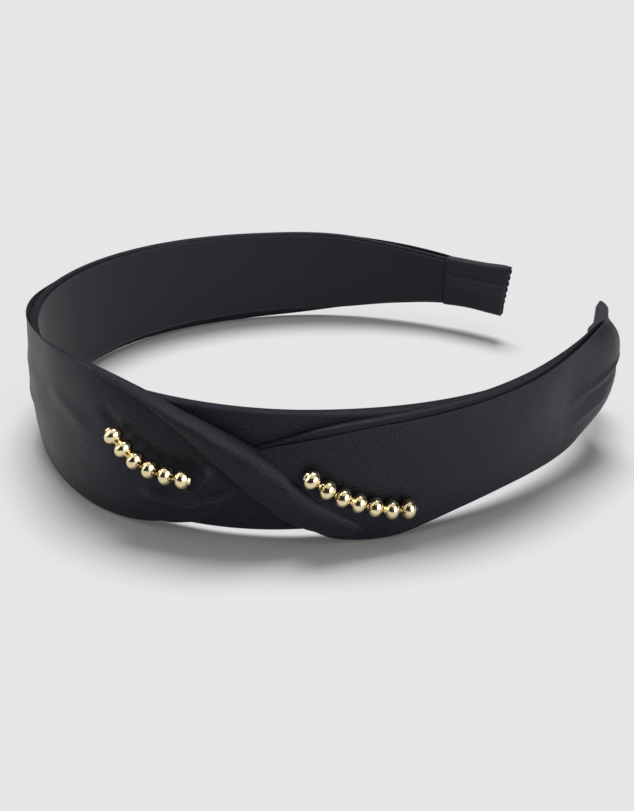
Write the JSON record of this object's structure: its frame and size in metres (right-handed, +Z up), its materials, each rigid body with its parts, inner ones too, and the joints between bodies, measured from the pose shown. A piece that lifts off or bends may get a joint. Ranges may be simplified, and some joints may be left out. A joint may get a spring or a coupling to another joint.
{
  "type": "headband",
  "caption": "Rigid open hoop hair band in black satin, with a flat tube twisted once over one leg and chains of small gold beads beside the twist.",
  "frame": {"origin": "middle of the footprint, on the table the band's lower edge rests on", "axes": "+Z up, across the band's width; +Y from the crown to the open tips; the twisted leg is on the +X side"},
  "size_m": [0.1396, 0.1468, 0.0352],
  "materials": {
    "satin": "black woven satin, soft broad sheen",
    "lining_cloth": "black brushed knit lining, matt",
    "grosgrain": "blue-black ribbed ribbon with a picot edge",
    "thread": "black sewing thread",
    "sponge": "black open-cell sponge sheet",
    "hoop_plastic": "black moulded plastic, satin gloss",
    "gold_coating": "pale gold vacuum metal coating, polished"
  },
  "bodies": {
    "root": {"core_hoop": "hoop_plastic", "foam_layer": "sponge", "base_cover": "satin", "inner_lining": "lining_cloth", "tip_sleeve_twist_side": "grosgrain", "tip_sleeve_plain_side": "grosgrain", "twist_wrap": "satin", "bead_cord_crown_row": "gold_coating", "crown_row_bead_1": "gold_coating", "crown_row_bead_2": "gold_coating", "crown_row_bead_3": "gold_coating", "crown_row_bead_4": "gold_coating", "crown_row_bead_5": "gold_coating", "crown_row_bead_6": "gold_coating", "stitches_crown_row": "thread", "bead_cord_tip_row": "gold_coating", "tip_row_bead_1": "gold_coating", "tip_row_bead_2": "gold_coating", "tip_row_bead_3": "gold_coating", "tip_row_bead_4": "gold_coating", "tip_row_bead_5": "gold_coating", "tip_row_bead_6": "gold_coating", "tip_row_bead_7": "gold_coating", "stitches_tip_row": "thread"}
  },
  "joints": []
}
